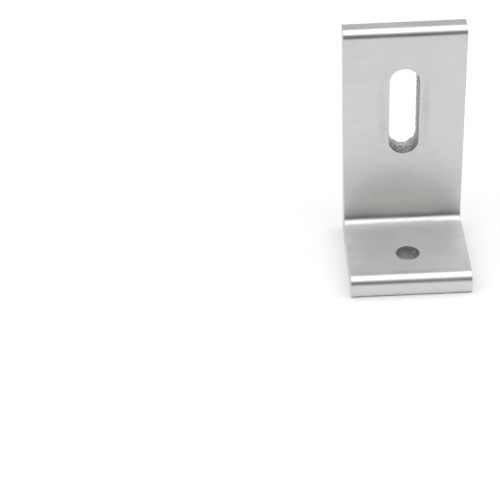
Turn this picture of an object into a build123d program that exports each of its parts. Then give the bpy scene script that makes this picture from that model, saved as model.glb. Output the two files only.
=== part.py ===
from build123d import *
import math
import os

# Solar L foot bracket: one length of extruded aluminium angle, sawn to width,
# with an adjustment slot through the tall leg and a round bolt hole through
# the base leg. The whole thing is one solid.
#
# Frame, millimetres: the base leg lies flat on Z = 0 and runs along -Y from
# the heel. The tall leg stands up along +Z at the heel, with its grooved
# outer face towards +Y. X runs across the sawn width. The origin is on the
# axis of the base bolt hole, at the underside of the base leg.

# ---- overall sizes ----
WIDTH = 40.0            # sawn length of the extrusion, along X
LEG_HEIGHT = 80.0       # tall leg, from the underside to its tip
BASE_LENGTH = 41.0      # base leg, from the grooved face plane to its tip
TALL_THICKNESS = 7.0    # tall leg, over the groove crests
BASE_THICKNESS = 7.0    # base leg

# ---- base bolt hole ----
HOLE_DIAMETER = 7.8
HOLE_TO_BACK = 26.8     # hole axis from the grooved face plane

# ---- adjustment slot in the tall leg ----
SLOT_WIDTH = 9.8        # at the smooth inner face
SLOT_BOTTOM = 34.0      # height of the slot's lower end, at the inner face
SLOT_TOP = 66.0         # height of the slot's upper end, at the inner face
SLOT_TAPER = 0.35       # each wall closes in by this much on its way to the grooved face

# ---- section radii ----
LEG_TIP_RADIUS = 2.7    # inner edge of the tall leg's tip
BASE_TOP_RADIUS = 3.0   # upper edge of the base leg's tip
INNER_RADIUS = 2.7      # fillet in the inner corner
TIP_BACK_RADIUS = 1.2   # outer edge of the tall leg's tip, running into the top groove
TIP_CREST_RADIUS = 0.3  # crest where that arc meets the top groove
HEEL_RADIUS = 0.4       # outer corner, nearly sharp
BASE_TIP_RADIUS = 0.8   # lower edge of the base leg's tip

# ---- grooves across the outer face of the tall leg ----
GROOVE_COUNT = 29
GROOVE_PITCH = 2.0
GROOVE_FLANK = 45.0     # flank angle from the face, degrees
GROOVE_RADIUS = 0.45    # crests and roots are rounded by the same radius
FIRST_ROOT = 1.7        # deepest line of the top groove, below the leg's tip

# ---- edges ----
SAW_BREAK = 0.15        # broken edge around the sawn end faces
HOLE_BREAK = 0.1        # broken edge at both mouths of the bolt hole
SLOT_BREAK = 0.15       # broken edge at the slot's mouth on the smooth inner face

BACK = HOLE_TO_BACK                 # plane of the groove crests and the flat heel
FRONT = BACK - BASE_LENGTH          # tip of the base leg
INNER = BACK - TALL_THICKNESS       # inner face of the tall leg

# A 45 degree zigzag whose points are rounded, so that its crests come flush
# with the flat part of the face.
slope = math.tan(math.radians(GROOVE_FLANK))
half = GROOVE_PITCH / 2
point = GROOVE_RADIUS * (1 / math.cos(math.radians(GROOVE_FLANK)) - 1)
crest_y = BACK + point              # sharp crest of the zigzag
root_y = crest_y - half * slope     # sharp root of the zigzag
GROOVE_DEPTH = (BACK - root_y) - point

# Section corners, anticlockwise seen from +X: (y, z, rounding radius).
corners = [
    (FRONT, 0.0, BASE_TIP_RADIUS),
    (BACK, 0.0, HEEL_RADIUS),
]
first_root = LEG_HEIGHT - FIRST_ROOT
last_root = first_root - GROOVE_PITCH * (GROOVE_COUNT - 1)
# The lowest groove rises straight into the flat part of the face.
run_out = (BACK - root_y) / slope
corners.append((BACK, last_root - run_out, GROOVE_RADIUS / 2))
for i in range(GROOVE_COUNT):
    z = last_root + i * GROOVE_PITCH
    corners.append((root_y, z, GROOVE_RADIUS))
    if i < GROOVE_COUNT - 1:
        corners.append((crest_y, z + half, GROOVE_RADIUS))

# The tip's outer edge is one large arc that meets the upper flank of the top
# groove in a small crest. Both arcs are given outright: the crest's centre is
# as far inside the tip arc as inside the flank.
tip_centre = (BACK - TIP_BACK_RADIUS, LEG_HEIGHT - TIP_BACK_RADIUS)
flank_normal = (math.cos(math.radians(GROOVE_FLANK)), -math.sin(math.radians(GROOVE_FLANK)))
flank_offset = (root_y - tip_centre[0]) * flank_normal[0] + (first_root - tip_centre[1]) * flank_normal[1]
inward = flank_offset - TIP_CREST_RADIUS
reach_in = TIP_BACK_RADIUS - TIP_CREST_RADIUS
along = math.sqrt(reach_in**2 - inward**2)
flank_up = (-flank_normal[1], flank_normal[0])
crest_centre = (
    tip_centre[0] + flank_normal[0] * inward + flank_up[0] * along,
    tip_centre[1] + flank_normal[1] * inward + flank_up[1] * along,
)


def on_circle(centre, radius, angle):
    return (centre[0] + radius * math.cos(angle), centre[1] + radius * math.sin(angle))


flank_angle = math.atan2(flank_normal[1], flank_normal[0])
meet_angle = math.atan2(crest_centre[1] - tip_centre[1], crest_centre[0] - tip_centre[0])
corners.append(
    tuple(on_circle(crest_centre, TIP_CREST_RADIUS, t)
          for t in (flank_angle, (flank_angle + meet_angle) / 2, meet_angle))
)
corners.append(
    tuple(on_circle(tip_centre, TIP_BACK_RADIUS, t)
          for t in (meet_angle, (meet_angle + math.pi / 2) / 2, math.pi / 2))
)
corners += [
    (INNER, LEG_HEIGHT, LEG_TIP_RADIUS),
    (INNER, BASE_THICKNESS, INNER_RADIUS),
    (FRONT, BASE_THICKNESS, BASE_TOP_RADIUS),
]


def rounded_section(points):
    """Closed section in the plane X = 0, of straight runs joined by tangent arcs.

    A point is a corner with its rounding radius, or an arc given outright as
    its start, middle and end."""
    n = len(points)

    def given(p):
        return isinstance(p[0], tuple)

    arcs = []
    for i, p in enumerate(points):
        if given(p):
            arcs.append(p)
            continue
        y, z, r = p
        before, after = points[i - 1], points[(i + 1) % n]
        py, pz = before[2] if given(before) else before[:2]
        ny, nz = after[0] if given(after) else after[:2]
        to_before, to_after = math.hypot(py - y, pz - z), math.hypot(ny - y, nz - z)
        uy, uz = (py - y) / to_before, (pz - z) / to_before
        vy, vz = (ny - y) / to_after, (nz - z) / to_after
        angle = math.acos(max(-1.0, min(1.0, uy * vy + uz * vz)))
        reach = r / math.tan(angle / 2)
        by, bz = uy + vy, uz + vz
        length = math.hypot(by, bz)
        out = r / math.sin(angle / 2) - r
        arcs.append(
            (
                (y + uy * reach, z + uz * reach),
                (y + by / length * out, z + bz / length * out),
                (y + vy * reach, z + vz * reach),
            )
        )
    edges = []
    for i, (start, middle, end) in enumerate(arcs):
        edges.append(ThreePointArc((0, *start), (0, *middle), (0, *end)))
        following = arcs[(i + 1) % n][0]
        if math.hypot(following[0] - end[0], following[1] - end[1]) > 1e-6:
            edges.append(Line((0, *end), (0, *following)))
    return Face(Wire(edges))


section = rounded_section(corners)

bracket = extrude(section, amount=WIDTH / 2, dir=(1, 0, 0), both=True)

# Broken edge all round each sawn end face.
ends = bracket.faces().filter_by(lambda f: abs(abs(f.center().X) - WIDTH / 2) < 1e-6)
try:
    broken = chamfer([e for face in ends for e in face.edges()], SAW_BREAK)
    if broken.is_valid:
        bracket = broken
        print("saw break", SAW_BREAK)
except Exception as problem:
    print("no saw break:", problem)

# Adjustment slot through the tall leg along Y, round at both ends. It was
# punched from the grooved side, so it is a little wider at the inner face.
ahead = 1.0             # the cut starts this far before the inner face
spread = SLOT_TAPER / TALL_THICKNESS
slot_length = SLOT_TOP - SLOT_BOTTOM + 2 * ahead * spread
slot_middle = (SLOT_TOP + SLOT_BOTTOM) / 2
slot_plane = Plane(origin=(0, INNER - ahead, slot_middle), x_dir=(0, 0, 1), z_dir=(0, 1, 0))
slot = extrude(
    slot_plane * SlotOverall(slot_length, SLOT_WIDTH + 2 * ahead * spread),
    amount=TALL_THICKNESS + 2 * ahead,
    taper=math.degrees(math.atan(spread)),
)
print("slot cutter", slot.bounding_box().min, slot.bounding_box().max, [str(f.geom_type) for f in slot.faces()])
bracket = bracket - slot

# Bolt hole, straight down through the base leg.
hole = Pos(0, 0, BASE_THICKNESS / 2) * Cylinder(HOLE_DIAMETER / 2, BASE_THICKNESS + 10)
bracket = bracket - hole
mouths = bracket.edges().filter_by(
    lambda e: e.geom_type == GeomType.CIRCLE
    and abs(e.radius - HOLE_DIAMETER / 2) < 1e-6
    and abs(e.arc_center.X) < 1e-6
    and abs(e.arc_center.Y) < 1e-6
)
bracket = chamfer(mouths, HOLE_BREAK)

rims = bracket.edges().filter_by(
    lambda e: abs(e.center().Y - INNER) < 1e-6
    and abs(e.center().X) < SLOT_WIDTH / 2 + 1e-6
    and SLOT_BOTTOM - 1e-6 < e.center().Z < SLOT_TOP + 1e-6
)
bracket = chamfer(rims, SLOT_BREAK)

solids = bracket.solids()
print("solids", len(solids), "volume", round(solids[0].volume, 1), "valid", solids[0].is_valid)
print("groove depth", round(GROOVE_DEPTH, 3), "grooved from z", round(last_root - run_out, 2), "to", LEG_HEIGHT)
print("hole mouths broken", len(mouths), "slot rim edges broken", len(rims))
box = bracket.bounding_box()
print("box", box.min, box.max)

bracket = solids[0]
bracket.label = "l_foot_bracket"
os.makedirs("parts", exist_ok=True)
export_step(bracket, "parts/l_foot_bracket.step")
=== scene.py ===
import math
import random

import bmesh
import bpy
from mathutils import Matrix, Vector, noise


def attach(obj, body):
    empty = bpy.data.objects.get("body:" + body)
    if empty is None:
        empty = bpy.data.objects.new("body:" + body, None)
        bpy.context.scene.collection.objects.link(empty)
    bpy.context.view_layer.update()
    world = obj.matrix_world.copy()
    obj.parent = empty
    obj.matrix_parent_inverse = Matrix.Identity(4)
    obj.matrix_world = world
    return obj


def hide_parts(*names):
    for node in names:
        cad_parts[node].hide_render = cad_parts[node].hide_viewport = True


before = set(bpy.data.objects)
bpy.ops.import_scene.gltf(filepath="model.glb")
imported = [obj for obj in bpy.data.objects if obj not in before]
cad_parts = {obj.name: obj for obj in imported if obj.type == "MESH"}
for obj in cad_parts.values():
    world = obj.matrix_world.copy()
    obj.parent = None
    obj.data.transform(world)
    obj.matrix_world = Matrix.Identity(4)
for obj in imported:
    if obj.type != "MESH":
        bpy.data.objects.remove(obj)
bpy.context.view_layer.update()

MM = 0.001

# ---------------------------------------------------------------- camera
CAM_AT = (-0.048837, -0.432092, 0.325437)
CAM_YAW, CAM_PITCH, CAM_ROLL = -0.51, -36.04, -2.82
CAM_F = 1602.7  # focal length, in widths of a 500-wide frame


def make_camera():
    y, p, r = (math.radians(v) for v in (CAM_YAW, CAM_PITCH, CAM_ROLL))
    forward = Vector((math.sin(y) * math.cos(p), math.cos(y) * math.cos(p), math.sin(p)))
    right = Vector((math.cos(y), -math.sin(y), 0))
    up = right.cross(forward)
    right, up = math.cos(r) * right + math.sin(r) * up, -math.sin(r) * right + math.cos(r) * up
    data = bpy.data.cameras.new("camera")
    data.sensor_width = 36.0
    data.lens = CAM_F / 500 * 36.0
    data.clip_start = 0.01
    data.clip_end = 50
    cam = bpy.data.objects.new("camera", data)
    bpy.context.scene.collection.objects.link(cam)
    m = Matrix((right, up, -forward)).transposed().to_4x4()
    m.translation = Vector(CAM_AT)
    cam.matrix_world = m
    bpy.context.scene.camera = cam


make_camera()

# ---------------------------------------------------------------- section, as the CAD has it, in mm
WIDTH, HEIGHT, LENGTH, THICK = 40.0, 80.0, 41.0, 7.0
BACK = 26.8
FRONT, INNER = BACK - LENGTH, BACK - THICK
LEG_TIP_R, BASE_TOP_R, INNER_R, BASE_TIP_R, HEEL_R = 2.7, 3.0, 2.7, 0.8, 0.4
TIP_BACK_R, TIP_CREST_R = 1.2, 0.3
GROOVES, PITCH, GROOVE_R, FIRST_ROOT = 29, 2.0, 0.45, 1.7
SLOT_W, SLOT_Z0, SLOT_Z1, SLOT_TAPER = 9.8, 34.0, 66.0, 0.35
HOLE_R = 3.9
ROLL = 0.15  # roll-over of the slot rim on the inner face
HOLE_BREAK = 0.1


def section():
    """Points round the section, anticlockwise seen from +X, as (y, z, region)."""
    half = PITCH / 2
    point = GROOVE_R * (math.sqrt(2) - 1)
    crest, root = BACK + point, BACK + point - half
    first_root = HEIGHT - FIRST_ROOT
    last_root = first_root - PITCH * (GROOVES - 1)
    run_out = BACK - root
    corners = [(FRONT, 0.0, BASE_TIP_R, "under"), (BACK, 0.0, HEEL_R, "heel"),
               (BACK, last_root - run_out, GROOVE_R / 2, "groove")]
    for i in range(GROOVES):
        z = last_root + i * PITCH
        corners.append((root, z, GROOVE_R, "groove"))
        if i < GROOVES - 1:
            corners.append((crest, z + half, GROOVE_R, "groove"))
    tc = (BACK - TIP_BACK_R, HEIGHT - TIP_BACK_R)
    n = (math.sqrt(0.5), -math.sqrt(0.5))
    inward = (root - tc[0]) * n[0] + (first_root - tc[1]) * n[1] - TIP_CREST_R
    along = math.sqrt((TIP_BACK_R - TIP_CREST_R) ** 2 - inward**2)
    cc = (tc[0] + n[0] * inward - n[1] * along, tc[1] + n[1] * inward + n[0] * along)
    a0, a1 = -math.pi / 4, math.atan2(cc[1] - tc[1], cc[0] - tc[0])
    corners.append(((cc, TIP_CREST_R, a0, a1), "groove"))
    corners.append(((tc, TIP_BACK_R, a1, math.pi / 2), "top"))
    corners += [(INNER, HEIGHT, LEG_TIP_R, "inner"), (INNER, 7.0, INNER_R, "base"), (FRONT, 7.0, BASE_TOP_R, "tip")]

    arcs = []
    n_c = len(corners)

    def head(c):
        return c[0] if isinstance(c[0], tuple) else None

    def ends(c):
        (cy, cz), r, s, e = c[0]
        return ((cy + r * math.cos(s), cz + r * math.sin(s)), (cy + r * math.cos(e), cz + r * math.sin(e)))

    for i, c in enumerate(corners):
        if head(c):
            (cy, cz), r, s, e = c[0]
            arcs.append(((cy, cz), r, s, e, c[1]))
            continue
        y, z, r, region = c
        b, a = corners[i - 1], corners[(i + 1) % n_c]
        pb = ends(b)[1] if head(b) else b[:2]
        pa = ends(a)[0] if head(a) else a[:2]
        u = Vector((pb[0] - y, pb[1] - z)).normalized()
        v = Vector((pa[0] - y, pa[1] - z)).normalized()
        ang = math.acos(max(-1, min(1, u.dot(v))))
        reach = r / math.tan(ang / 2)
        p0, p1 = Vector((y, z)) + u * reach, Vector((y, z)) + v * reach
        cen = Vector((y, z)) + (u + v).normalized() * (r / math.sin(ang / 2))
        s = math.atan2(p0.y - cen.y, p0.x - cen.x)
        e = math.atan2(p1.y - cen.y, p1.x - cen.x)
        while e - s > math.pi:
            e -= 2 * math.pi
        while e - s < -math.pi:
            e += 2 * math.pi
        arcs.append(((cen.x, cen.y), r, s, e, region))
    pts = []
    for i, ((cy, cz), r, s, e, region) in enumerate(arcs):
        steps = max(2, round(abs(e - s) / math.radians(15 if r < 1 else 7.5)))
        for k in range(steps + 1):
            t = s + (e - s) * k / steps
            pts.append((cy + r * math.cos(t), cz + r * math.sin(t), region))
        nxt = arcs[(i + 1) % len(arcs)]
        q = (nxt[0][0] + nxt[1] * math.cos(nxt[2]), nxt[0][1] + nxt[1] * math.sin(nxt[2]))
        p = pts[-1]
        d = math.hypot(q[0] - p[0], q[1] - p[1])
        k = int(d / 1.0)
        for j in range(1, k):
            pts.append((p[0] + (q[0] - p[0]) * j / k, p[1] + (q[1] - p[1]) * j / k, region))
    out = []
    for p in pts:
        if not out or math.hypot(p[0] - out[-1][0], p[1] - out[-1][1]) > 1e-4:
            out.append(p)
    if math.hypot(out[0][0] - out[-1][0], out[0][1] - out[-1][1]) < 1e-4:
        out.pop()
    return out


def n3(x, y, z, scale=1.0, seed=0.0):
    return noise.noise(Vector((x * scale + seed, y * scale - seed * 0.7, z * scale + seed * 1.3)))


def body_mesh():
    pts = section()
    n = len(pts)
    normals = []
    for i in range(n):
        a, b = pts[i - 1], pts[(i + 1) % n]
        t = Vector((b[0] - a[0], b[1] - a[1])).normalized()
        normals.append(Vector((t.y, -t.x)))
    hx = WIDTH / 2
    inset = 0.15
    xs = [-hx + inset + (2 * (hx - inset)) * i / 80 for i in range(81)]
    bm = bmesh.new()
    rings = []

    def ring(x, off):
        row = []
        for i, (y, z, region) in enumerate(pts):
            nv = normals[i]
            near = math.exp(-(((y - INNER + 0.8) ** 2 + (z - 7.8) ** 2) / 3.2))
            d = off + (0.26 * near * (n3(x, 0.0, 0.0, 0.16, 31.0) + 0.5 * n3(x, 0.0, 0.0, 0.5, 37.0)) if near > 0.01 else 0.0)
            if off:
                d += off * (0.4 * n3(x, y, z, 0.9, 5.0) + 0.45 * n3(x, y, z, 2.6, 9.0))
            row.append(bm.verts.new((x * MM, (y - nv.x * d) * MM, (z - nv.y * d) * MM)))
        return row

    rings.append(ring(-hx, inset))
    for x in xs:
        rings.append(ring(x, 0))
    rings.append(ring(hx, inset))
    for a, b in zip(rings, rings[1:]):
        for i in range(n):
            j = (i + 1) % n
            bm.faces.new((a[i], a[j], b[j], b[i]))
    bm.faces.new(list(reversed(rings[0])))
    bm.faces.new(rings[-1])
    bmesh.ops.recalc_face_normals(bm, faces=bm.faces)
    me = bpy.data.meshes.new("l_foot")
    bm.to_mesh(me)
    bm.free()
    return me


def slot_cutter():
    """Stadium prism along Y, with the uneven wall that the punch left."""
    cx, r = 0.0, SLOT_W / 2
    zc0, zc1 = SLOT_Z0 + r, SLOT_Z1 - r
    loop = []
    arc = 44
    straight = 60
    for k in range(arc):
        t = math.pi * k / arc
        loop.append((cx + r * math.cos(t), zc1 + r * math.sin(t), math.cos(t), math.sin(t)))
    for k in range(straight):
        loop.append((cx - r, zc1 + (zc0 - zc1) * k / straight, -1.0, 0.0))
    for k in range(arc):
        t = math.pi + math.pi * k / arc
        loop.append((cx + r * math.cos(t), zc0 + r * math.sin(t), math.cos(t), math.sin(t)))
    for k in range(straight):
        loop.append((cx + r, zc0 + (zc1 - zc0) * k / straight, 1.0, 0.0))
    ys = [INNER - 3.0, INNER - 0.5, INNER - 0.02, INNER + 0.02, INNER + 0.06, INNER + 0.10, INNER + ROLL, INNER + 0.3]
    ys += [INNER + 0.55 + (THICK - 0.55) * k / 22 for k in range(23)]
    ys += [BACK + 0.7, BACK + 3.0]
    bm = bmesh.new()
    rings = []
    for y in ys:
        row = []
        depth = max(0.0, min(1.0, (y - INNER) / THICK))
        for (x, z, nx, nz) in loop:
            rough = 0.02 + 0.07 * depth**1.6
            d = rough * (0.9 * n3(x, y * 0.5, z, 1.1, 3.0) + 0.6 * n3(x, y, z, 2.8, 7.0))
            d += 0.035 * n3(x * 2.2, y * 0.12, z * 2.2, 1.0, 21.0)
            d -= SLOT_TAPER * depth
            if y < INNER - 0.1:
                d += ROLL + 0.25
            elif y < INNER + ROLL:
                d += ROLL - math.sqrt(max(0.0, ROLL**2 - (INNER + ROLL - max(y, INNER)) ** 2))
            row.append(bm.verts.new(((x + nx * d) * MM, y * MM, (z + nz * d) * MM)))
        rings.append(row)
    m = len(loop)
    for a, b in zip(rings, rings[1:]):
        for i in range(m):
            j = (i + 1) % m
            bm.faces.new((a[i], a[j], b[j], b[i]))
    bm.faces.new(list(reversed(rings[0])))
    bm.faces.new(rings[-1])
    bmesh.ops.recalc_face_normals(bm, faces=bm.faces)
    me = bpy.data.meshes.new("slot_cutter")
    bm.to_mesh(me)
    bm.free()
    return me


def hole_cutter():
    m = 96
    e = HOLE_BREAK
    zs = [-3.0, -e, 0.0, e] + [e + (7.0 - 2 * e) * k / 16 for k in range(1, 16)] + [7.0 - e, 7.0, 7.0 + e, 10.0]
    bm = bmesh.new()
    rings = []
    for z in zs:
        row = []
        for k in range(m):
            t = 2 * math.pi * k / m
            c, s = math.cos(t), math.sin(t)
            r = HOLE_R + min(0.5, max(0.0, e - z, z - 7.0 + e))
            r += 0.035 * n3(c * 6, s * 6, z * 0.15, 1.0, 2.0) + 0.02 * n3(c * 4, s * 4, z, 1.3, 12.0)
            row.append(bm.verts.new((r * c * MM, r * s * MM, z * MM)))
        rings.append(row)
    for a, b in zip(rings, rings[1:]):
        for i in range(m):
            j = (i + 1) % m
            bm.faces.new((a[i], a[j], b[j], b[i]))
    bm.faces.new(list(reversed(rings[0])))
    bm.faces.new(rings[-1])
    bmesh.ops.recalc_face_normals(bm, faces=bm.faces)
    me = bpy.data.meshes.new("hole_cutter")
    bm.to_mesh(me)
    bm.free()
    return me


def add(name, me):
    o = bpy.data.objects.new(name, me)
    bpy.context.scene.collection.objects.link(o)
    return o


# ---------------------------------------------------------------- node helpers
class Nodes:
    def __init__(self, tree):
        self.t = tree

    def new(self, kind, **props):
        n = self.t.nodes.new(kind)
        for k, v in props.items():
            setattr(n, k, v)
        return n

    def link(self, a, b):
        self.t.links.new(a, b)

    def math(self, op, a, b=None, c=None, clamp=False):
        n = self.new("ShaderNodeMath", operation=op, use_clamp=clamp)
        for i, v in enumerate((a, b, c)):
            if v is None:
                continue
            if isinstance(v, (int, float)):
                n.inputs[i].default_value = v
            else:
                self.link(v, n.inputs[i])
        return n.outputs[0]

    def coords(self, scale=(1, 1, 1)):
        tc = self.new("ShaderNodeTexCoord")
        mp = self.new("ShaderNodeMapping")
        mp.inputs["Scale"].default_value = scale
        self.link(tc.outputs["Object"], mp.inputs["Vector"])
        return mp.outputs["Vector"]

    def noise(self, vec, scale=1.0, detail=3.0, rough=0.5, distort=0.0):
        n = self.new("ShaderNodeTexNoise")
        n.inputs["Scale"].default_value = scale
        n.inputs["Detail"].default_value = detail
        n.inputs["Roughness"].default_value = rough
        n.inputs["Distortion"].default_value = distort
        self.link(vec, n.inputs["Vector"])
        return n.outputs["Fac"]

    def ramp(self, fac, stops):
        n = self.new("ShaderNodeValToRGB")
        els = n.color_ramp.elements
        while len(els) < len(stops):
            els.new(0.5)
        for e, (p, c) in zip(els, stops):
            e.position = p
            e.color = (*c, 1) if len(c) == 3 else c
        self.link(fac, n.inputs["Fac"])
        return n.outputs["Color"]

    def span(self, fac, lo, hi, out_lo, out_hi):
        n = self.new("ShaderNodeMapRange")
        n.inputs["From Min"].default_value = lo
        n.inputs["From Max"].default_value = hi
        n.inputs["To Min"].default_value = out_lo
        n.inputs["To Max"].default_value = out_hi
        self.link(fac, n.inputs["Value"])
        return n.outputs["Result"]

    def bump(self, height, distance, strength=1.0, normal=None):
        n = self.new("ShaderNodeBump")
        n.inputs["Strength"].default_value = strength
        n.inputs["Distance"].default_value = distance
        self.link(height, n.inputs["Height"])
        if normal is not None:
            self.link(normal, n.inputs["Normal"])
        return n.outputs["Normal"]


def material(name):
    m = bpy.data.materials.new(name)
    m.use_nodes = True
    m.node_tree.nodes.clear()
    n = Nodes(m.node_tree)
    out = n.new("ShaderNodeOutputMaterial")
    p = n.new("ShaderNodeBsdfPrincipled")
    n.link(p.outputs["BSDF"], out.inputs["Surface"])
    p.inputs["Metallic"].default_value = 1.0
    return m, n, p


BASE = (0.688, 0.696, 0.677)


def tint(k):
    return tuple(min(1.0, c * k) for c in BASE)


def smooth_band(n, value, lo, hi, soft):
    """1 between lo and hi, fading to 0 over soft on both sides"""
    up = n.span(value, lo - soft, lo + soft, 0.0, 1.0)
    down = n.span(value, hi - soft, hi + soft, 1.0, 0.0)
    return n.math("MULTIPLY", up, down, clamp=True)


def mill_finish():
    m, n, p = material("mill_finish")
    place = n.new("ShaderNodeSeparateXYZ")
    n.link(n.coords(), place.inputs["Vector"])
    X, Y, Z = place.outputs
    blotch = n.noise(n.coords((90, 90, 90)), 1.0, 3.0, 0.55)
    lines = n.noise(n.coords((16, 2600, 2600)), 1.0, 3.0, 0.6)
    short = n.noise(n.coords((140, 2100, 2100)), 1.0, 3.0, 0.62)
    wide = n.noise(n.coords((9, 620, 620)), 1.0, 2.0, 0.5)
    grain = n.noise(n.coords((1500, 1500, 1500)), 1.0, 2.0, 0.6)
    # Rubbed marks on the inner face, along both sides of the slot.
    off = n.math("ABSOLUTE", n.math("SUBTRACT", n.math("ABSOLUTE", X), 0.0072))
    rub = n.span(off, 0.0002, 0.0019, 1.0, 0.0)
    rub = n.math("MULTIPLY", rub, smooth_band(n, Z, 0.040, 0.061, 0.004), clamp=True)
    rub = n.math("MULTIPLY", rub, n.span(Y, 0.0199, 0.0215, 1.0, 0.0), clamp=True)
    patchy = n.noise(n.coords((260, 260, 170)), 1.0, 3.0, 0.6)
    rub = n.math("MULTIPLY", rub, n.span(patchy, 0.38, 0.62, 0.2, 1.0), clamp=True)
    # The rest of the tone: slow blotches, short scratches, faint die lines and a fine grain.
    mix = n.math("ADD", n.math("MULTIPLY", blotch, 0.36), n.math("MULTIPLY", wide, 0.10))
    mix = n.math("ADD", mix, n.math("MULTIPLY", grain, 0.20))
    mix = n.math("ADD", mix, n.math("MULTIPLY", short, 0.34))
    tone = n.new("ShaderNodeMix", data_type="RGBA", blend_type="MULTIPLY")
    n.link(n.math("MULTIPLY", rub, 1.0), tone.inputs["Factor"])
    n.link(n.ramp(mix, [(0.36, tint(0.93)), (0.64, tint(1.045))]), tone.inputs["A"])
    tone.inputs["B"].default_value = (0.89, 0.89, 0.895, 1)
    # Painted shade: the upright's inner face is darkened just above the inner corner, where shade gathers in the
    # corner.
    corner_shade_mask = n.math("MULTIPLY", n.span(Z, 0.0090, 0.0150, 1.0, 0.0), n.span(Z, 0.0082, 0.0090, 0.0, 1.0), clamp=True)
    corner_shade_mask = n.math("MULTIPLY", corner_shade_mask, smooth_band(n, Y, 0.0192, 0.0200, 0.0002), clamp=True)
    corner_shade = n.new("ShaderNodeMix", data_type="RGBA", blend_type="MULTIPLY")
    n.link(corner_shade_mask, corner_shade.inputs["Factor"])
    n.link(tone.outputs["Result"], corner_shade.inputs["A"])
    corner_shade.inputs["B"].default_value = (0.75, 0.75, 0.75, 1)
    # The base's upper face is a little more matt than the rest, and has painted light: its colour gets lighter
    # towards the inner corner.
    flat = n.math("MULTIPLY", smooth_band(n, Y, -0.0100, 0.0165, 0.0012), smooth_band(n, Z, 0.0060, 0.0085, 0.0008), clamp=True)
    base_top_painted_light = n.new("ShaderNodeMix", data_type="RGBA", blend_type="MULTIPLY")
    n.link(n.math("MULTIPLY", smooth_band(n, Y, -0.0115, 0.0178, 0.0008), smooth_band(n, Z, 0.0060, 0.0085, 0.0008), clamp=True), base_top_painted_light.inputs["Factor"])
    n.link(corner_shade.outputs["Result"], base_top_painted_light.inputs["A"])
    shade = n.new("ShaderNodeCombineColor")
    # Painted light: the colour is scaled from 0.98 at the tip up to 1.24 near the inner corner.
    level = n.span(Y, -0.0110, 0.0170, 0.98, 1.24)
    for i in range(3):
        n.link(level, shade.inputs[i])
    n.link(shade.outputs["Color"], base_top_painted_light.inputs["B"])
    n.link(base_top_painted_light.outputs["Result"], p.inputs["Base Color"])
    rough = n.math("ADD", n.span(blotch, 0.3, 0.7, -0.02, 0.02), n.span(lines, 0.3, 0.7, ROUGH - 0.03, ROUGH + 0.03))
    rough = n.math("ADD", rough, n.math("MULTIPLY", flat, 0.06))
    corner = n.math("MULTIPLY", smooth_band(n, Y, 0.0168, 0.0205, 0.0006), smooth_band(n, Z, 0.0065, 0.0100, 0.0006), clamp=True)
    rough = n.math("ADD", rough, n.math("MULTIPLY", corner, n.span(patchy, 0.35, 0.65, 0.0, 0.06)))
    rough = n.math("ADD", rough, n.math("MULTIPLY", rub, 0.05))
    n.link(rough, p.inputs["Roughness"])
    b = n.bump(wide, 0.00002, 0.08)
    b = n.bump(lines, 0.000006, 0.3, b)
    b = n.bump(short, 0.000008, 0.35, b)
    b = n.bump(grain, 0.000004, 0.4, b)
    n.link(b, p.inputs["Normal"])
    return m


def sawn_end():
    m, n, p = material("sawn_end")
    tc = n.coords((260, 260, 2100))
    saw = n.noise(tc, 1.0, 3.0, 0.6, 0.6)
    grain = n.noise(n.coords((3200, 3200, 3200)), 1.0, 2.0, 0.6)
    n.link(n.ramp(saw, [(0.3, tint(0.88)), (0.7, tint(0.98))]), p.inputs["Base Color"])
    n.link(n.span(saw, 0.3, 0.7, 0.46, 0.56), p.inputs["Roughness"])
    b = n.bump(saw, 0.00004, 0.5)
    b = n.bump(grain, 0.00002, 0.3, b)
    n.link(b, p.inputs["Normal"])
    return m


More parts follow.
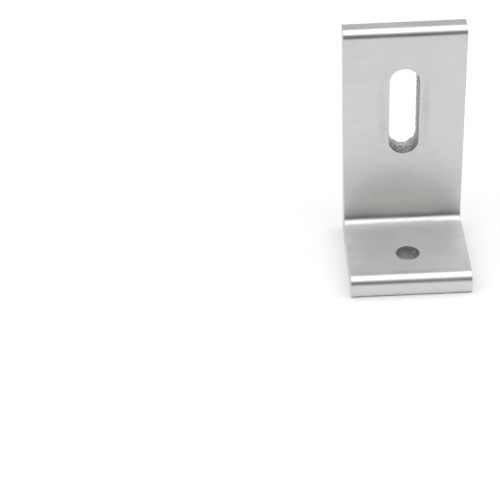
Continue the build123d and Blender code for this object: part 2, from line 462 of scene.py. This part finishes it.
def slot_wall():
    """Punched wall: torn and dark next to the inner face, burnished further in, with an uneven line between them."""
    m, n, p = material("slot_wall")
    place = n.new("ShaderNodeSeparateXYZ")
    n.link(n.coords(), place.inputs["Vector"])
    X, Y, Z = place.outputs
    streak = n.noise(n.coords((1900, 170, 1900)), 1.0, 4.0, 0.65, 0.3)
    torn = n.noise(n.coords((1700, 1300, 1700)), 1.0, 4.0, 0.65)
    pits = n.noise(n.coords((2600, 2600, 2600)), 1.0, 3.0, 0.7)
    edge = n.noise(n.coords((190, 30, 190)), 1.0, 3.0, 0.55)
    depth = n.math("ADD", n.span(Y, INNER * MM, BACK * MM, 0.0, 1.0), n.span(edge, 0.3, 0.7, 0.26, -0.26))
    inner = n.span(depth, 0.50, 0.62, 0.0, 1.0)
    dark = n.ramp(torn, [(0.36, tint(0.30)), (0.50, tint(0.52)), (0.60, tint(0.76)), (0.68, tint(1.10))])
    light = n.ramp(streak, [(0.34, tint(0.62)), (0.62, tint(1.0))])
    tone = n.new("ShaderNodeMix", data_type="RGBA")
    # The long side walls are torn nearly through.
    side = n.span(n.math("ABSOLUTE", X), 0.0036, 0.0044, 1.0, 0.30)
    inner = n.math("MULTIPLY", inner, side)
    n.link(inner, tone.inputs["Factor"])
    n.link(dark, tone.inputs["A"])
    n.link(light, tone.inputs["B"])
    # Painted shade: a darker line along the rim, for the shading of the rolled-over edge; and a darker line where the
    # tear starts.
    rim = n.span(Y, (INNER + 0.25) * MM, (INNER + 0.75) * MM, 0.62, 1.0)
    tear = n.span(n.math("ABSOLUTE", n.math("SUBTRACT", depth, 0.50)), 0.0, 0.07, 0.74, 1.0)
    shade = n.math("MULTIPLY", rim, tear, clamp=True)
    both = n.new("ShaderNodeMix", data_type="RGBA", blend_type="MULTIPLY")
    both.inputs["Factor"].default_value = 1.0
    n.link(tone.outputs["Result"], both.inputs["A"])
    grey = n.new("ShaderNodeCombineColor")
    for i in range(3):
        n.link(shade, grey.inputs[i])
    n.link(grey.outputs["Color"], both.inputs["B"])
    n.link(both.outputs["Result"], p.inputs["Base Color"])
    n.link(n.math("ADD", n.span(inner, 0.0, 1.0, 0.60, 0.42), n.span(pits, 0.3, 0.7, -0.04, 0.04)), p.inputs["Roughness"])
    b = n.bump(streak, 0.00006, 0.5)
    b = n.bump(torn, 0.00011, 0.6, b)
    b = n.bump(pits, 0.00005, 0.6, b)
    n.link(b, p.inputs["Normal"])
    return m


def hole_wall():
    """Punched bolt hole, with streaks along its axis."""
    m, n, p = material("hole_wall")
    streak = n.noise(n.coords((1500, 1500, 130)), 1.0, 4.0, 0.65, 0.3)
    patch = n.noise(n.coords((900, 900, 700)), 1.0, 4.0, 0.65, 0.4)
    pits = n.noise(n.coords((2800, 2800, 2800)), 1.0, 3.0, 0.7)
    mix = n.math("ADD", n.math("MULTIPLY", streak, 0.3), n.math("MULTIPLY", patch, 0.7))
    place = n.new("ShaderNodeSeparateXYZ")
    n.link(n.coords(), place.inputs["Vector"])
    # A lighter ring near the underside.
    ring = n.math("ADD", place.outputs[2], n.span(patch, 0.3, 0.7, -0.00015, 0.00015))
    ring = n.span(ring, 0.0013, 0.0021, 0.8, 0.0)
    tone = n.new("ShaderNodeMix", data_type="RGBA")
    n.link(ring, tone.inputs["Factor"])
    n.link(n.ramp(mix, [(0.36, tint(0.46)), (0.50, tint(0.64)), (0.63, tint(0.84))]), tone.inputs["A"])
    tone.inputs["B"].default_value = (*tint(1.15), 1)
    n.link(tone.outputs["Result"], p.inputs["Base Color"])
    n.link(n.span(mix, 0.35, 0.65, 0.60, 0.46), p.inputs["Roughness"])
    b = n.bump(streak, 0.00009, 0.6)
    b = n.bump(patch, 0.00010, 0.5, b)
    b = n.bump(pits, 0.00003, 0.5, b)
    n.link(b, p.inputs["Normal"])
    return m


ROUGH = 0.42


def make_bracket():
    body = add("bracket", body_mesh())
    mats = [mill_finish(), sawn_end(), slot_wall(), hole_wall()]
    for m in mats:
        body.data.materials.append(m)
    for cut in (slot_cutter(), hole_cutter()):
        c = add(cut.name, cut)
        mod = body.modifiers.new("cut", "BOOLEAN")
        mod.operation = "DIFFERENCE"
        mod.solver = "EXACT"
        mod.object = c
        dg = bpy.context.evaluated_depsgraph_get()
        me = bpy.data.meshes.new_from_object(body.evaluated_get(dg))
        body.modifiers.clear()
        old = body.data
        body.data = me
        bpy.data.meshes.remove(old)
        bpy.data.objects.remove(c)
        bpy.data.meshes.remove(cut)
    me = body.data
    me.name = "bracket"
    if len(me.materials) < 4:
        me.materials.clear()
        for m in mats:
            me.materials.append(m)
    hx = WIDTH / 2
    r = SLOT_W / 2
    for f in me.polygons:
        c = f.center / MM
        nrm = f.normal
        f.use_smooth = True
        k = 0
        if abs(c.x) > hx - 0.149:
            k = 1
        elif INNER - 0.01 < c.y < BACK + 0.01 and SLOT_Z0 - 1 < c.z < SLOT_Z1 + 1 and abs(c.x) < r + 0.6:
            zc = max(SLOT_Z0 + r, min(SLOT_Z1 - r, c.z))
            d = Vector((c.x, c.z - zc))
            along = abs(nrm.x * d.x + nrm.z * d.y) / max(d.length, 1e-6)
            if -0.75 < d.length - r < 0.35 and along > (0.55 if c.y < INNER + 0.5 else 0.85) and c.y > INNER + 0.001:
                k = 2
        elif math.hypot(c.x, c.y) < HOLE_R + 0.3 and -0.001 < c.z < 7.001 and abs(nrm.z) < 0.9:
            k = 3
        f.material_index = k
    me.set_sharp_from_angle(angle=math.radians(40))
    wn = body.modifiers.new("normals", "WEIGHTED_NORMAL")
    wn.keep_sharp = True
    wn.weight = 100
    return body


bracket = make_bracket()
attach(bracket, "root")
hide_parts("l_foot_bracket")

# ---------------------------------------------------------------- floor, light
def plane(name, x0, x1, y0, y1, z):
    me = bpy.data.meshes.new(name)
    me.from_pydata([(x0, y0, z), (x1, y0, z), (x1, y1, z), (x0, y1, z)], [], [(0, 1, 2, 3)])
    return add(name, me)


def flat_material(name, color, rough=0.9):
    m = bpy.data.materials.new(name)
    m.use_nodes = True
    p = m.node_tree.nodes["Principled BSDF"]
    p.inputs["Base Color"].default_value = (*color, 1)
    p.inputs["Roughness"].default_value = rough
    p.inputs["Specular IOR Level"].default_value = 0.2
    return m


FLOOR = (0.835, 0.835, 0.835)
floor = plane("floor", -6, 6, -6, 6, 0.0)
floor.data.materials.append(flat_material("floor", FLOOR))
# The overhead light doesn't reach the far floor, so that part is lit from inside, like a lit backdrop.
fl = Nodes(floor.data.materials[0].node_tree)
far = fl.new("ShaderNodeVectorMath", operation="LENGTH")
fl.link(fl.coords(), far.inputs[0])
glow = floor.data.materials[0].node_tree.nodes["Principled BSDF"]
glow.inputs["Emission Color"].default_value = (1, 1, 1, 1)
fl.link(fl.span(far.outputs["Value"], 0.7, 2.0, 0.0, 1.0), glow.inputs["Emission Strength"])

# Painted shade: a dark card lying over the floor further in front, seen only in the metal's reflections.
card = plane("front_card", -3.0, 3.0, -5.5, -0.42, 0.0005)
card.data.materials.append(flat_material("front_card", (0.06, 0.06, 0.06)))
card.visible_camera = False
card.visible_diffuse = False
card.visible_shadow = False
card.visible_transmission = False

# Overhead light in three panels, each from one height above the front horizon to the next, in degrees, with its radiance.
PANELS = ((47.0, 62.0, 1.1), (62.0, 80.0, 2.1), (80.0, 115.0, 1.4), (115.0, 133.0, 1.2))
SOFT_HALF_X = 2.0
FRONT_SKY, SIDE_SKY, REAR_SKY = 0.01, 0.90, 0.35


def softbox(name, at, size, radiance, target=(0, 0, 0)):
    d = bpy.data.lights.new(name, "AREA")
    d.shape = "RECTANGLE"
    d.size, d.size_y = size
    # radiance of a flat emitter is power / (pi * area)
    d.energy = radiance * math.pi * size[0] * size[1]
    o = bpy.data.objects.new(name, d)
    o.location = at
    o.rotation_euler = (Vector(target) - Vector(at)).to_track_quat("-Z", "Y").to_euler()
    bpy.context.scene.collection.objects.link(o)
    return o


H = 1.5
for i, (a0, a1, radiance) in enumerate(PANELS):
    y0, y1 = (-H / math.tan(math.radians(a)) for a in (a0, a1))
    softbox("overhead_%d" % i, (0, (y0 + y1) / 2, H), (2 * SOFT_HALF_X, y1 - y0), radiance, (0, (y0 + y1) / 2, 0))

world = bpy.data.worlds.new("studio")
bpy.context.scene.world = world
world.use_nodes = True
wt = world.node_tree
wt.nodes.clear()
w = Nodes(wt)
wout = w.new("ShaderNodeOutputWorld")
tc = w.new("ShaderNodeTexCoord")
sep = w.new("ShaderNodeSeparateXYZ")
w.link(tc.outputs["Generated"], sep.inputs["Vector"])
side = w.span(sep.outputs["Y"], -0.5, 0.5, 0.0, 1.0)
dim = w.ramp(side, [(0.0, (FRONT_SKY,) * 3), (0.5, (SIDE_SKY,) * 3), (1.0, (REAR_SKY,) * 3)])
bg = w.new("ShaderNodeBackground")
w.link(dim, bg.inputs["Color"])
lit = w.new("ShaderNodeBackground")
lit.inputs["Color"].default_value = (1, 1, 1, 1)
lp = w.new("ShaderNodeLightPath")
mixs = w.new("ShaderNodeMixShader")
w.link(lp.outputs["Is Camera Ray"], mixs.inputs[0])
w.link(bg.outputs[0], mixs.inputs[1])
w.link(lit.outputs[0], mixs.inputs[2])
w.link(mixs.outputs[0], wout.inputs["Surface"])

bpy.context.scene.view_settings.view_transform = "Standard"
bpy.context.scene.view_settings.look = "None"
bpy.context.scene.view_settings.exposure = 0.0
bpy.context.scene.view_settings.gamma = 1.0
